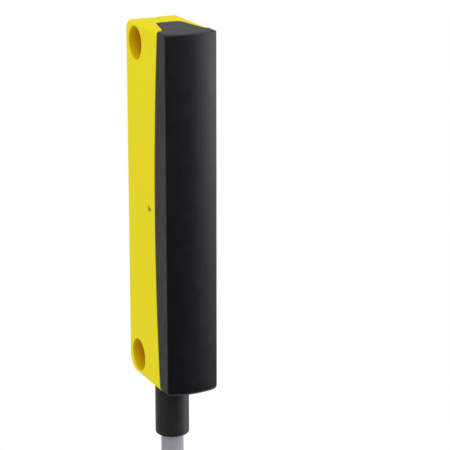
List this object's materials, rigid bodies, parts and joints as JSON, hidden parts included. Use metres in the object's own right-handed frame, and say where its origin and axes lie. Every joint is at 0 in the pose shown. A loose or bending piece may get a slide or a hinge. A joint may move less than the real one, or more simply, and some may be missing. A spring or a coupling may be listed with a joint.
{
  "type": "magnetic safety sensor",
  "caption": "Slim bar-shaped coded magnetic sensor for a machine guard, with a crowned sensing face, counterbored fixing holes across it and a moulded cable at its lower end.",
  "frame": {"origin": "on the mounting face, midway between the axes of the two fixing holes", "axes": "+Z along the bar, away from the cable; +X is the outward normal of the mounting face, so the screw heads sit on the -X side; -Y is the side of the crowned sensing face"},
  "size_m": [0.0179, 0.0884, 0.2585],
  "materials": {
    "yellow_housing": "fine satin moulded plastic",
    "black_cover": "satin moulded plastic",
    "black_sleeve": "moulded soft plastic",
    "grey_jacket": "extruded soft plastic",
    "resin": "cast resin",
    "board": "coated glass fibre board",
    "reed_glass": "drawn glass tube",
    "reed_blade": "plated nickel iron",
    "chip": "coated chip resistor",
    "core_brown": "extruded insulation",
    "core_blue": "extruded insulation",
    "core_white": "extruded insulation",
    "core_black": "extruded insulation",
    "ferrule": "tinned crimp sleeve",
    "tie": "moulded nylon band"
  },
  "bodies": {
    "root": {"housing": "yellow_housing", "sensing_cover": "black_cover", "cable_sleeve": "black_sleeve", "cable_lead": "grey_jacket", "cable_coil": "grey_jacket", "cable_tail": "grey_jacket", "potting": "resin", "circuit_board": "board", "resistor_1": "chip", "resistor_2": "chip", "coil_tie_1": "tie", "coil_tie_2": "tie", "reed_glass_1": "reed_glass", "reed_1_upper_blade": "reed_blade", "reed_1_lower_blade": "reed_blade", "reed_glass_2": "reed_glass", "reed_2_upper_blade": "reed_blade", "reed_2_lower_blade": "reed_blade", "reed_glass_3": "reed_glass", "reed_3_upper_blade": "reed_blade", "reed_3_lower_blade": "reed_blade", "core_brown": "core_brown", "end_core_brown": "core_brown", "ferrule_brown": "ferrule", "core_blue": "core_blue", "end_core_blue": "core_blue", "ferrule_blue": "ferrule", "core_white": "core_white", "end_core_white": "core_white", "ferrule_white": "ferrule", "core_black": "core_black", "end_core_black": "core_black", "ferrule_black": "ferrule"}
  },
  "joints": []
}
